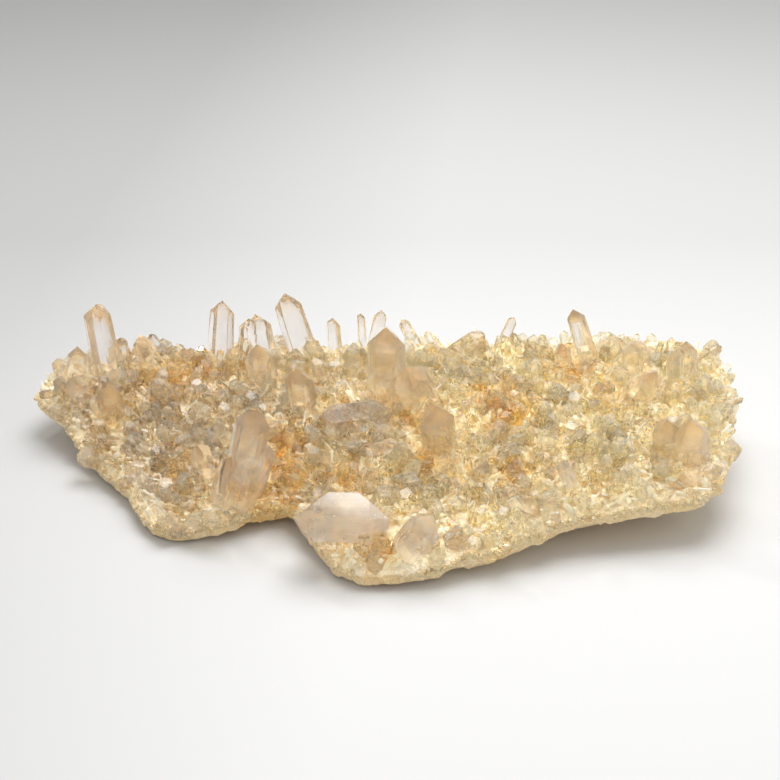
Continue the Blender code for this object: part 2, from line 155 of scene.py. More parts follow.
GROWTHS: dict[str, list[Crystal]] = {
    "left_spire": [
        Crystal((-173, 84), (-3, -6, 48), 16, turn=22),
        Crystal((-164, 84), (1, -3, 25), 9, turn=5),
    ],
    "left_knob": [Crystal((-192, 79), (4, -4, 25), 10, turn=40)],
    "left_block": [Crystal((-146, 87), (-6, -3, 22), 12.5, turn=30)],
    "left_needle": [Crystal((-136, 97), (-12, -1, 18), 5.5)],
    "left_stub": [Crystal((-185, 60), (-3, -5, 20), 12)],
    "left_honey_point": [Crystal((-164, 45), (-1, -8, 23), 14, turn=35)],
    "house_point": [Crystal((-105, 93), (4, -2, 41), 14, turn=30)],
    "twin_points": [
        Crystal((-88, 91), (2, 0, 27), 11, turn=18),
        Crystal((-77, 87), (-4, -2, 32), 16, turn=40),
    ],
    "tall_back_point": [Crystal((-52, 87), (-11, -3, 43), 16, turn=28)],
    "back_stub": [Crystal((-34, 90), (-1, 0, 25), 8.5, root=5)],
    "back_needles": [
        Crystal((-17, 90), (-1, 0, 26), 5.5, root=5),
        Crystal((-10, 90), (5, 0, 27), 8, root=5, turn=33),
    ],
    "leaning_back_point": [Crystal((18, 88), (-11, 0, 22), 7.5)],
    "mid_left_point": [Crystal((-103, -18), (-2, -8, 23), 13.5)],
    "front_tower": [
        Crystal((-84, -34), (13, -6, 59), 18.5, turn=20, root=6),
        Crystal((-75, -28), (10, -3, 31), 9, turn=48, root=5),
        Crystal((-94, -35), (9, -7, 30), 9.5, root=5),
    ],
    "dull_point": [Crystal((-76, 58), (-2, -6, 28), 17, turn=34)],
    "honey_prism": [Crystal((-51, 30), (-2, -8, 30), 15, turn=25)],
    "centre_tower": [
        Crystal((-2, 27), (-1, -8, 51), 20, turn=26, root=9),
        Crystal((20, 21), (-12, -14, 33), 18.5, turn=5, root=9),
    ],
    "clear_lying_crystal": [
        Crystal((-39, 9), (41, -6, 9), 17, rise=6, turn=28, root=3, doubly_ended=True),
    ],
    "lying_crystal": [
        Crystal((5, -15), (-26, -3, -2), 11, rise=4, root=2, turn=20, doubly_ended=True),
    ],
    "blunt_honey_point": [Crystal((28, -13), (-3, -11, 34), 19, turn=42, root=9)],
    "milky_front_point": [
        Crystal((-6, -76), (-45, 0, 2), 25, rise=8, turn=30, root=6, doubly_ended=True),
    ],
    "bright_front_point": [Crystal((10, -84), (12, -7, 23), 18, turn=10, root=5)],
    "honey_front_point": [Crystal((35, -82), (-3, -7, 16), 12, root=4)],
    "bright_stub": [Crystal((48, -34), (5, -6, 15), 8)],
    "orange_point": [Crystal((70, -36), (-4, -6, 14), 9.5)],
    "curved_front_crystal": [
        Crystal((60, -53), (22, -8, -9), 14, rise=5, turn=30, root=4, doubly_ended=True),
    ],
    "bright_shard": [Crystal((100, -49), (-10, -6, 24), 8)],
    "right_ridge": [Crystal((40, 75), (17, -8, 18), 15, turn=20)],
    "skyline_leaner": [Crystal((66, 84), (9, 0, 23), 5.5)],
    "right_wedge": [Crystal((105, 57), (-5, -3, 17), 10.5, turn=50)],
    "tall_right_point": [Crystal((120, 50), (-15, -4, 44), 11, turn=25)],
    "back_lying_point": [Crystal((119, 83), (24, 0, 2), 7, rise=3, root=3)],
    "right_block": [Crystal((142, 46), (-3, -6, 28), 12.5, turn=33)],
    "right_honey_prism": [Crystal((139, 18), (10, -6, 26), 14, turn=15)],
    "far_lying_point": [Crystal((157, 80), (23, -2, 1), 8, rise=3, root=3)],
    "right_pair": [
        Crystal((167, 44), (-2, -4, 25), 10, turn=35),
        Crystal((177, 50), (-5, -4, 28), 10.5),
    ],
    "right_clear_point": [Crystal((185, 72), (14, 0, 11), 6.5, root=5)],
    "side_clear_point": [Crystal((183, 22), (19, -2, 10), 5, root=5)],
    "corner_points": [
        Crystal((152, -27), (-4, -9, 28), 14.5, turn=38),
        Crystal((166, -31), (-7, -11, 31), 17, turn=24),
        Crystal((174, -38), (-30, -9, -11), 10, rise=3, root=2),
    ],
}
KINDS = {
    Quartz.HONEY: {
        "left_honey_point", "honey_prism", "blunt_honey_point", "right_honey_prism",
        "orange_point", "corner_points", "dull_point",
    },
    Quartz.MILKY: {"milky_front_point", "bright_front_point", "front_tower", "lying_crystal"},
}


def quartz_of(growth: str) -> Quartz:
    """Which quartz a growth is made of."""
    return next((kind for kind, growths in KINDS.items() if growth in growths), Quartz.CLEAR)


@dataclass(frozen=True)
class PlateForm:
    """The plate's outline on the plan, its crust and its underside, as the solids have them."""

    outline: tuple[Pair, ...] = (
        (-217, 77), (-211, 66), (-198, 54), (-187, 38), (-179, 26), (-168, 12), (-160, 3),
        (-150, -11), (-143, -23), (-138, -36), (-131, -46), (-121, -52), (-106, -53), (-94, -51),
        (-83, -46), (-76, -40), (-67, -37), (-60, -37), (-53, -42), (-47, -57), (-39, -74),
        (-29, -88), (-16, -98), (5, -97), (26, -93), (39, -86), (60, -82), (70, -75), (82, -71),
        (91, -65), (104, -61), (134, -57), (151, -55), (168, -52), (180, -40), (188, -22),
        (192, 0), (198, 22), (202, 42), (205, 62), (202, 79), (195, 87), (176, 86), (158, 90),
        (129, 91), (105, 89), (80, 95), (58, 92), (37, 97), (6, 95), (-15, 99), (-37, 97),
        (-58, 102), (-74, 100), (-95, 105), (-112, 103), (-132, 106), (-150, 109), (-173, 110),
        (-195, 106), (-209, 95),
    )
    outline_step: float = 13.0
    raggedness: float = 1.1
    crust_middle: float = 35.0
    climb_right: float = 0.070
    climb_back: float = 0.180
    edge_drop: float = 9.0
    edge_drop_width: float = 14.0
    swells: tuple[Spot, ...] = (
        (0, 40, 6, 55), (-120, 45, 4, 40), (95, 20, 4, 38), (-62, -18, -7, 20),
        (40, -40, -4, 28), (-172, 8, -8, 42), (205, 60, -10, 60), (-15, -70, 4, 26),
    )
    roughness: float = 1.5
    grain: float = 0.075
    rim_thickness: float = 6.5
    least_clearance: float = 1.5
    belly_reach: float = 13.0
    belly_per_height: float = 1.1
    belly_widening: float = 400.0
    belly_wander: float = 9.0
    belly_curve: float = 1.3
    underside_roughness: float = 2.2
    spread_jitter: float = 0.3
    spread_across: Pair = (-220, 210)
    spread_back: Pair = (-100, 112)

    def sides(self) -> Iterable[tuple[Pair, Pair]]:
        """Each straight side of the outline, as its two ends."""
        return zip(self.outline, self.outline[1:] + self.outline[:1])

    def nearest_rim(self, x: float, y: float) -> tuple[float, Vector]:
        """Find the nearest place on the outline.

        Args:
            x: Place on the plan, to the right.
            y: Place on the plan, to the back.

        Returns:
            The distance to the outline, and the place on it.
        """
        place = Vector((x, y))
        spots = (closest_on(Vector(start), Vector(end), place)[0] for start, end in self.sides())
        found = min(spots, key=lambda spot: (place - spot).length)
        return (place - found).length, found

    def rim_distance(self, x: float, y: float) -> float:
        """How far a place on the plan is from the outline."""
        return self.nearest_rim(x, y)[0]

    def holds(self, x: float, y: float) -> bool:
        """Tell whether a place on the plan is on the plate.

        Args:
            x: Place on the plan, to the right.
            y: Place on the plan, to the back.

        Returns:
            True when the outline goes round it.
        """
        crossings = sum(
            (ay > y) != (by > y) and x < ax + (y - ay) * (bx - ax) / (by - ay)
            for (ax, ay), (bx, by) in self.sides()
        )
        return crossings % 2 == 1

    def smooth_crust(self, x: float, y: float, from_rim: float) -> float:
        """Work out the crust's height without its roughness.

        Args:
            x: Place on the plan, to the right.
            y: Place on the plan, to the back.
            from_rim: The place's distance from the outline.

        Returns:
            The height above the table.
        """
        height = self.crust_middle + self.climb_right * x + self.climb_back * y
        height -= self.edge_drop * math.exp(-from_rim / self.edge_drop_width)
        for swell_x, swell_y, swell, radius in self.swells:
            away = (x - swell_x) ** 2 + (y - swell_y) ** 2
            height += swell * math.exp(-away / radius ** 2)
        return height

    def crust_height(self, x: float, y: float) -> float:
        """Height of the crust above the table."""
        rough = noise.noise(Vector((x, y, 0)) * self.grain)
        return self.smooth_crust(x, y, self.rim_distance(x, y)) + self.roughness * rough

    def underside_height(self, x: float, y: float) -> float:
        """Work out the underside's height, which rises from the flat rest towards the rim.

        Args:
            x: Place on the plan, to the right.
            y: Place on the plan, to the back.

        Returns:
            The height above the table.
        """
        from_rim = self.rim_distance(x, y)
        rim = max(self.smooth_crust(x, y, 0.0) - self.rim_thickness, self.least_clearance)
        rough = noise.noise(Vector((x, y, 90)) * self.grain * 0.6)
        wider = 1 + max(x, 0) / self.belly_widening
        belly = self.belly_reach + self.belly_per_height * rim * wider
        share = max(0.0, 1 - from_rim / (belly + self.belly_wander * rough))
        lumps = self.underside_roughness * noise.noise(Vector((x, y, 40)) * self.grain)
        return max(0.0, rim * share ** self.belly_curve + lumps * share * (1 - share) * 4)

    def ragged_outline(self) -> list[Vector]:
        """Follow the outline in short steps, each a little off the line, as stone breaks.

        Returns:
            The places in order.
        """
        places = random.Random(7)
        points = []
        for start, end, steps in walk([Vector(place) for place in self.outline], self.outline_step):
            across = (end - start).orthogonal().normalized()
            for step in range(steps):
                shift = places.uniform(-self.raggedness, self.raggedness)
                points.append(start.lerp(end, step / steps) + across * shift)
        return points

    def spread_points(self, spacing: float, margin: float, seed: int) -> list[Vector]:
        """Spread places over the plate, off any regular pattern.

        Args:
            spacing: Distance between neighbours, about.
            margin: Least distance from the outline.
            seed: Seed of the places.

        Returns:
            The places on the plan.
        """
        places = random.Random(seed)
        row_step = spacing * math.sqrt(3) / 2
        rows = range(*(math.ceil(edge / row_step) for edge in self.spread_back))
        columns = range(*(math.ceil(edge / spacing) for edge in self.spread_across))
        off = self.spread_jitter
        points = []
        for row, column in itertools.product(rows, columns):
            x = (column + 0.5 * (row % 2) + places.uniform(-off, off)) * spacing
            y = row * row_step + places.uniform(-off, off) * spacing
            if self.holds(x, y) and self.rim_distance(x, y) > margin:
                points.append(Vector((x, y)))
        return points


PLATE = PlateForm()


def plan_shift() -> Vector:
    """Find where the plan's zero lies in the shared frame.

    Returns:
        The place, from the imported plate's left and front.
    """
    low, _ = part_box(PLATE_NODE)
    rim = PLATE.ragged_outline()
    left = min(point.x for point in rim)
    front = min(point.y for point in rim)
    return Vector((low.x - left * MM, low.y - front * MM, 0))


PLAN_TO_FRAME = Matrix.Translation(plan_shift()) @ Matrix.Scale(MM, 4)


@dataclass(frozen=True)
class Stain:
    """Where iron has stained the quartz: spots with a place, a radius and a strength."""

    spots: tuple[Spot, ...] = (
        (67, 12, 13, 1.3), (60, 28, 9, 1.1), (-60, 1, 12, 1.3), (-25, -36, 11, 1.2),
        (-29, 16, 9, 0.9), (106, 52, 12, 1.3), (-2, 41, 9, 0.6), (9, 12, 8, 0.9),
        (-131, 67, 14, 1.1), (-165, 38, 10, 0.9), (-2, -84, 9, 1.0), (67, -34, 8, 1.4),
        (90, -33, 6, 0.8), (-66, -30, 14, 3.2), (20, -22, 9, 0.8), (-100, 80, 16, 0.9),
        (-118, -10, 10, 1.0), (126, 22, 12, 0.4), (-45, 60, 10, 0.35), (48, 66, 12, 0.4),
    )
    wander: float = 5.0
    patchiness: float = 1.1
    least: float = 0.85
    mottle: float = 0.055
    broad_share: float = 0.38
    fine_share: float = 0.12

    def at(self, place: Vector) -> float:
        """How stained a place is.

        Args:
            place: The place in millimetres on the plan.

        Returns:
            From 0, bare, to 1, deep ochre.
        """
        x, y = place.x, place.y
        wobble = self.wander * noise.noise(Vector((x, y, 7)) * 0.11)
        amount = 0.0
        for spot_x, spot_y, radius, strength in self.spots:
            away = math.hypot(x - spot_x + wobble, (y - spot_y) * 0.9 - wobble)
            amount += strength * math.exp(-(away / radius) ** 2)
        amount *= max(0.0, self.least + self.patchiness * noise.noise(Vector((x, y, 55)) * 0.28))
        broad = noise.noise(Vector((x, y, 31)) * self.mottle)
        fine = noise.noise(Vector((x, y, 77)) * 0.23)
        return held(amount + (self.broad_share * max(0.0, broad) + self.fine_share * fine))


STAIN = Stain()


class Socket:
    """A value in a shader that Python's operators work on."""

    def __init__(self, paint: "Paint", output: bpy.types.NodeSocket) -> None:
        """Wrap an output socket of the paint's node tree."""
        self.paint = paint
        self.output = output

    def _math(self, operation: str, *values: "Socket | float") -> "Socket":
        """Add a Math node of this operation over the values."""
        inputs = {index: value for index, value in enumerate(values)}
        return self.paint.node("ShaderNodeMath", inputs, operation=operation)

    def __add__(self, other: "Socket | float") -> "Socket":
        """The sum."""
        return self._math("ADD", self, other)

    __radd__ = __add__

    def __sub__(self, other: "Socket | float") -> "Socket":
        """The difference."""
        return self._math("SUBTRACT", self, other)

    def __rsub__(self, other: "Socket | float") -> "Socket":
        """The difference, the other way round."""
        return self._math("SUBTRACT", other, self)

    def __mul__(self, other: "Socket | float") -> "Socket":
        """The product."""
        return self._math("MULTIPLY", self, other)

    __rmul__ = __mul__

    def clamped(self) -> "Socket":
        """The value held between 0 and 1."""
        return self._math("MINIMUM", self._math("MAXIMUM", self, 0.0), 1.0)

    def between(self, low: float, high: float) -> "Socket":
        """The value spread so that low becomes 0 and high becomes 1, held between them."""
        return ((self - low) * (1 / (high - low))).clamped()


@dataclass
class Paint:
    """A material under construction, with one method that adds any node."""

    name: str
    material: bpy.types.Material = field(init=False)

    def __post_init__(self) -> None:
        """Start an empty node material."""
        self.material = bpy.data.materials.new(self.name)
        self.material.use_nodes = True
        self.tree = self.material.node_tree
        self.tree.nodes.clear()

    def add(self, kind: str, inputs: dict, **settings: object) -> bpy.types.Node:
        """Add a node.

        Args:
            kind: The node's type.
            inputs: Values or Sockets for its input sockets, by name or number.
            **settings: The node's own settings, made before its sockets are filled.

        Returns:
            The node.
        """
        node = self.tree.nodes.new(kind)
        for name, value in settings.items():
            setattr(node, name, value)
        for key, value in inputs.items():
            if isinstance(value, Socket):
                self.tree.links.new(value.output, node.inputs[key])
            else:
                node.inputs[key].default_value = value
        return node

    def node(self, kind: str, inputs: dict, output: int | str = 0, **settings: object) -> Socket:
        """Add a node and give one of its outputs."""
        return Socket(self, self.add(kind, inputs, **settings).outputs[output])

    def place(self) -> Socket:
        """The surface's own coordinates."""
        return self.node("ShaderNodeTexCoord", {}, "Object")

    def attribute(self, name: str, output: str = "Color") -> Socket:
        """An attribute that the mesh carries."""
        return self.node("ShaderNodeAttribute", {}, output, attribute_name=name)

    def noise(self, scale: float, detail: float = 3.0, rough: float = 0.55) -> Socket:
        """Noise over the surface's own coordinates."""
        inputs = {"Vector": self.place(), "Scale": scale, "Detail": detail, "Roughness": rough}
        return self.node("ShaderNodeTexNoise", inputs, "Fac")

    def mix(self, factor: Socket | float, a: object, b: object, blend: str = "MIX") -> Socket:
        """A colour between two others, or the first multiplied by the second."""
        inputs = {"Factor": factor, 6: a, 7: b}
        return self.node("ShaderNodeMix", inputs, 2, data_type="RGBA", blend_type=blend)

    def principled(self, inputs: dict) -> Socket:
        """The main shader."""
        return self.node("ShaderNodeBsdfPrincipled", inputs)

    def bump(self, height: Socket, depth: float, strength: float = 1.0) -> Socket:
        """A normal from a height, over a depth in metres."""
        inputs = {"Height": height, "Distance": depth, "Strength": strength}
        return self.node("ShaderNodeBump", inputs)

    def finish(self, surface: Socket, **others: Socket) -> bpy.types.Material:
        """Join the surface, and a Volume where there is one, to the output."""
        self.add("ShaderNodeOutputMaterial", {"Surface": surface, **others})
        return self.material


@dataclass(frozen=True)
class RockFinish:
    """Sugary vein quartz: cream, in places stained ochre."""

    pale: Colour = (0.975, 0.855, 0.61, 1)
    deep: Colour = (0.945, 0.755, 0.44, 1)
    grain_glint_cream: Colour = (0.97, 0.9, 0.76, 1)
    ochre: Colour = (0.87, 0.61, 0.26, 1)
    roughness: float = 0.5
    cloud_scale: float = 55.0
    lump_scale: float = 260.0
    grain_scale: float = 620.0
    relief: float = 0.0012

    def material(self) -> bpy.types.Material:
        """Make the plate's material.

        Returns:
            The material.
        """
        paint = Paint("sugary_cream_rock")
        clouds = paint.noise(self.cloud_scale, 5.0, 0.6)
        lumps = paint.noise(self.lump_scale, 4.0, 0.6)
        grains = {"Vector": paint.place(), "Scale": self.grain_scale}
        sugar = paint.node("ShaderNodeTexVoronoi", grains, "Distance")
        cells = paint.node("ShaderNodeTexVoronoi", grains, "Color")
        shade = paint.node("ShaderNodeSeparateColor", {0: cells})
        colour = paint.mix(clouds.between(0.36, 0.66), self.deep, self.pale)
        # Random sugar cells lean towards a paler cream: partly the grain's own tone, partly painted
        # glints.
        colour = paint.mix(shade.between(0.55, 1.0) * 0.45, colour, self.grain_glint_cream)
        stain = paint.attribute("stain", "Fac") + (lumps - 0.5) * 0.5
        colour = paint.mix(stain.between(0.2, 0.95), colour, self.ochre)
        height = sugar * -0.6 + shade * 0.3 + lumps * 0.5
        return paint.finish(paint.principled({
            "Base Color": colour,
            "Roughness": shade * -0.25 + self.roughness,
            "Normal": paint.bump(height, self.relief),
            "IOR": QUARTZ_IOR,
        }))


@dataclass(frozen=True)
class GrainFinish:
    """The small crystals of the druse, each with a tint of its own."""

    name: str
    transmission: float
    roughness: float
    ior: float
    body: Colour = (1, 1, 1, 1)
    film_scale: float = 420.0
    film_roughness: float = 0.12

    def material(self) -> bpy.types.Material:
        """Make the material of one size of small crystals.

        Returns:
            The material.
        """
        paint = Paint(self.name)
        film = paint.noise(self.film_scale, 3.0, 0.6)
        return paint.finish(paint.principled({
            "Base Color": paint.mix(1.0, paint.attribute("tint"), self.body, "MULTIPLY"),
            "Roughness": film.between(0.5, 0.8) * self.film_roughness + self.roughness,
            "Transmission Weight": self.transmission,
            "IOR": self.ior,
        }))


@dataclass(frozen=True)
class PointFinish:
    """A large crystal: see-through, with cloudy stretches and fine lines across its faces."""

    name: str
    colour: Colour
    cloud_colour: Colour
    absorbed: Colour
    density: float
    haze: float
    wisp: float
    roughness: float = 0.03
    tip: Colour = (0.96, 0.88, 0.76, 1)
    line_stretch: Triple = (1.5, 15.0, 1.0)
    streak_stretch: Triple = (7.0, 0.7, 1.0)
    wisp_scale: float = 70.0
    film_scale: float = 300.0
    relief: float = 0.00035
    cloud_transmission: float = 0.45

    @staticmethod
    def _drawn(paint: Paint, stretch: Triple, detail: float) -> Socket:
        """Draw noise out across or along the faces.

        Args:
            paint: The material.
            stretch: Scale in each direction of the face.
            detail: Octaves of the noise.

        Returns:
            The noise.
        """
        face = paint.node("ShaderNodeTexCoord", {}, "UV")
        drawn = paint.node("ShaderNodeMapping", {"Vector": face, "Scale": stretch})
        inputs = {"Vector": drawn, "Scale": 1.0, "Detail": detail}
        return paint.node("ShaderNodeTexNoise", inputs, "Fac")

    def material(self) -> bpy.types.Material:
        """Make the material of one kind of large crystal.

        Returns:
            The material.
        """
        paint = Paint(self.name)
        lines = self._drawn(paint, self.line_stretch, 3.0)
        streaks = self._drawn(paint, self.streak_stretch, 4.0)
        wisps = paint.noise(self.wisp_scale, 3.0, 0.55) * 0.72 + streaks * 0.28
        veil = paint.attribute("veil", "Fac")
        # Towards the tip the colour turns tan: partly stain, partly a painted reflection of the
        # crust seen through the point.
        colour = paint.mix((1 - veil).between(0.52, 0.7), self.colour, self.tip)
        film = paint.noise(self.film_scale, 3.0, 0.6)
        bump = paint.bump(lines * 0.6 + film * 0.4, self.relief, 0.22)
        clear = paint.principled({
            "Base Color": colour,
            "Roughness": film.between(0.45, 0.8) * 0.12 + self.roughness,
            "Transmission Weight": 1.0,
            "IOR": QUARTZ_IOR,
            "Normal": bump,
        })
        cloudy = paint.principled({
            "Base Color": paint.mix(wisps, self.cloud_colour, self.colour),
            "Roughness": film * 0.2 + 0.12 + self.roughness,
            "Transmission Weight": self.cloud_transmission,
            "IOR": QUARTZ_IOR,
            "Normal": bump,
        })
        amount = ((wisps.between(0.35, 0.7) * self.wisp + self.haze) * veil).clamped()
        surface = paint.node("ShaderNodeMixShader", {0: amount, 1: clear, 2: cloudy})
        volume = paint.node(
            "ShaderNodeVolumeAbsorption", {"Color": self.absorbed, "Density": self.density}
        )
        return paint.finish(surface, Volume=volume)


POINT_FINISHES = {
    Quartz.CLEAR: PointFinish(
        "clear_quartz_points", (0.985, 0.975, 0.96, 1), (0.95, 0.91, 0.85, 1),
        (0.935, 0.895, 0.85, 1), 10.0, 0.03, 0.25, tip=(0.87, 0.80, 0.72, 1),
    ),
    Quartz.HONEY: PointFinish(
        "honey_quartz_points", (0.98, 0.955, 0.90, 1), (0.94, 0.85, 0.68, 1),
        (0.92, 0.83, 0.66, 1), 24.0, 0.12, 0.5, 0.06, (0.94, 0.89, 0.78, 1),
    ),
    Quartz.MILKY: PointFinish(
        "milky_quartz_points", (0.99, 0.97, 0.945, 1), (0.965, 0.91, 0.855, 1),
        (0.94, 0.87, 0.78, 1), 14.0, 0.4, 0.4, 0.2,
    ),
}
SATIN = PointFinish(
    "satin_quartz_points", (0.94, 0.915, 0.875, 1), (0.90, 0.85, 0.785, 1),
    (0.88, 0.83, 0.76, 1), 22.0, 0.2, 0.4, 0.1, (0.90, 0.855, 0.79, 1),
)
HAZY = PointFinish(
    "hazy_quartz_points", (0.98, 0.96, 0.92, 1), (0.95, 0.89, 0.79, 1),
    (0.94, 0.87, 0.76, 1), 12.0, 0.08, 0.6, 0.06, (0.96, 0.91, 0.83, 1),
)
SMOKY = PointFinish(
    "smoky_quartz_points", (0.96, 0.94, 0.91, 1), (0.90, 0.85, 0.76, 1),
    (0.85, 0.79, 0.71, 1), 24.0, 0.1, 0.5, 0.05, (0.93, 0.9, 0.86, 1),
)
BRIGHT = PointFinish(
    "bright_quartz_points", (0.995, 0.975, 0.95, 1), (0.98, 0.93, 0.87, 1),
    (0.96, 0.90, 0.82, 1), 8.0, 0.3, 0.3, 0.12,
)
OWN_FINISHES = {
    "front_tower": SATIN, "centre_tower": HAZY, "dull_point": HAZY,
    "clear_lying_crystal": SMOKY, "bright_front_point": BRIGHT, "bright_shard": BRIGHT,
    "lying_crystal": POINT_FINISHES[Quartz.HONEY],
}


@dataclass(frozen=True)
class QuartzForm:
    """The faces of a quartz crystal, and how they close it."""

    terminal_angle: float = math.radians(51.8)
    taper: float = math.radians(1.3)
    prism_spread: Pair = (0.84, 1.06)
    major_spread: Pair = (-0.05, 0.05)
    minor_set_back: Pair = (0.03, 0.2)
    under_set_back: Pair = (0.0, 0.15)

    def planes(
        self,
        width: float,
        length: float,
        habit: str,
        doubly_ended: bool = False,
        minor_faces: bool = True,
    ) -> list[tuple[Vector, float]]:
        """Set out the faces of a crystal that stands on its base.

        Args:
            width: Width across the prism.
            length: Length from base to tip.
            habit: Seed of the faces' uneven distances.
            doubly_ended: Whether it has a point at its base too.
            minor_faces: Whether three small faces cut the corners below the tip.

        Returns:
            Each face's outward normal and its distance from the middle of the base.
        """
        places = random.Random(habit)
        middle = length / 2
        planes = []
        for side in range(6):
            angle = math.radians(60 * side)
            around = Vector((math.cos(angle), math.sin(angle), 0))
            reach = width / 2 * places.uniform(*self.prism_spread)
            face = around * math.cos(self.taper) + UP * math.sin(self.taper)
            planes.append((face, face.dot(around * reach + UP * middle)))
            major = side % 2 == 0
            set_back = places.uniform(*(self.major_spread if major else self.minor_set_back))
            if not major and not minor_faces:
                continue
            slope = around * math.sin(self.terminal_angle) + UP * math.cos(self.terminal_angle)
            planes.append((slope, length * slope.z + set_back * width))
            if doubly_ended:
                under = Vector((slope.x, slope.y, -slope.z))
                planes.append((under, places.uniform(*self.under_set_back) * width))
        planes.append((Vector((0, 0, -1)), 0.0))
        return planes

    @staticmethod
    def corners(planes: Sequence[tuple[Vector, float]], merge: float) -> list[np.ndarray]:
        """Find the corners of the solid that lies behind all the planes.

        Args:
            planes: Outward normals and distances.
            merge: Corners nearer than this to another are left out.

        Returns:
            The corners.
        """
        normals = np.array([tuple(normal) for normal, _ in planes])
        distances = np.array([distance for _, distance in planes])
        triples = np.array(list(itertools.combinations(range(len(planes)), 3)))
        systems = normals[triples]
        solvable = np.abs(np.linalg.det(systems)) > 1e-6
        known = distances[triples[solvable]][..., None]
        found = np.linalg.solve(systems[solvable], known)[..., 0]
        behind = (found @ normals.T <= distances + 1e-6).all(axis=1)
        kept: list[np.ndarray] = []
        for corner in found[behind]:
            if all(np.linalg.norm(corner - other) > merge for other in kept):
                kept.append(corner)
        return kept

    def hull(self, planes: Sequence[tuple[Vector, float]], merge: float) -> bmesh.types.BMesh:
        """Close a crystal with flat faces, standing on its base.

        Args:
            planes: Outward normals and distances of its faces.
            merge: Corners nearer than this to another are left out.

        Returns:
            The body.
        """
        body = bmesh.new()
        for corner in self.corners(planes, merge):
            body.verts.new(Vector(corner))
        bmesh.ops.convex_hull(body, input=body.verts)
        angle = math.radians(0.3)
        bmesh.ops.dissolve_limit(body, angle_limit=angle, verts=body.verts, edges=body.edges)
        bmesh.ops.recalc_face_normals(body, faces=body.faces)
        return body

    @staticmethod
    def stand(start: Vector, direction: Vector, turn: float) -> Matrix:
        """Where a crystal stands: its base at start, its axis along direction."""
        upright = UP.rotation_difference(direction).to_matrix().to_4x4()
        return Matrix.Translation(start) @ upright @ Matrix.Rotation(math.radians(turn), 4, "Z")


FORM = QuartzForm()


def add_object(name: str, data: bpy.types.ID) -> bpy.types.Object:
    """Put a new object in the scene.

    Args:
        name: The object's name.
        data: Its mesh, lamp or camera.

    Returns:
        The object.
    """
    thing = bpy.data.objects.new(name, data)
    bpy.context.scene.collection.objects.link(thing)
    return thing


def add_piece(
    name: str, mesh: bpy.types.Mesh, material: bpy.types.Material, slot: str, *nodes: str
) -> bpy.types.Object:
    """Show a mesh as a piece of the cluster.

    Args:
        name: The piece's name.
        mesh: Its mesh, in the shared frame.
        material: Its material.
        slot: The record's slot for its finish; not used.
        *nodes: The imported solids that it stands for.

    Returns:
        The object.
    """
    piece = add_object(name, mesh)
    mesh.materials.append(material)
    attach(piece, "root")
    if nodes:
        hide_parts(*nodes)
    return piece


def mesh_of(
    name: str, body: bmesh.types.BMesh, place: Matrix = PLAN_TO_FRAME
) -> bpy.types.Mesh:
    """Turn a body into a mesh, moved to its place, and free it.

    Args:
        name: The mesh's name.
        body: The body.
        place: Where it goes: from the plan to the shared frame unless told otherwise.

    Returns:
        The mesh.
    """
    body.transform(place)
    mesh = bpy.data.meshes.new(name)
    body.to_mesh(mesh)
    body.free()
    return mesh


def taken_apart(body: bmesh.types.BMesh) -> tuple[np.ndarray, list[list[int]]]:
    """Take the corners and faces out of a body, and free it.

    Args:
        body: The body.

    Returns:
        Its corners, and each face as the numbers of its corners.
    """
    body.verts.index_update()
    corners = np.array([tuple(vert.co) for vert in body.verts])
    faces = [[vert.index for vert in face.verts] for face in body.faces]
    body.free()
    return corners, faces


def in_frame(places: np.ndarray) -> np.ndarray:
    """Places of the plan, in the shared frame."""
    return places * MM + np.array(PLAN_TO_FRAME.translation)


def joined(
    name: str, parts: Sequence[tuple[np.ndarray, list[list[int]], np.ndarray]]
) -> bpy.types.Mesh:
    """Join small crystals in one mesh, which stores their tints.

    Args:
        name: The mesh's name.
        parts: Each crystal's corners on the plan, faces and colour.

    Returns:
        The mesh, in the shared frame.
    """
    faces = []
    known = 0
    for corners, sides, _ in parts:
        faces += [[index + known for index in side] for side in sides]
        known += len(corners)
    places = np.concatenate([corners for corners, _, _ in parts])
    tints = np.concatenate([np.tile(tint, len(corners)) for corners, _, tint in parts])
    mesh = bpy.data.meshes.new(name)
    mesh.from_pydata(in_frame(places).tolist(), [], faces)
    mesh.attributes.new("tint", "FLOAT_COLOR", "POINT").data.foreach_set("color", tints)
    mesh.update()
    return mesh


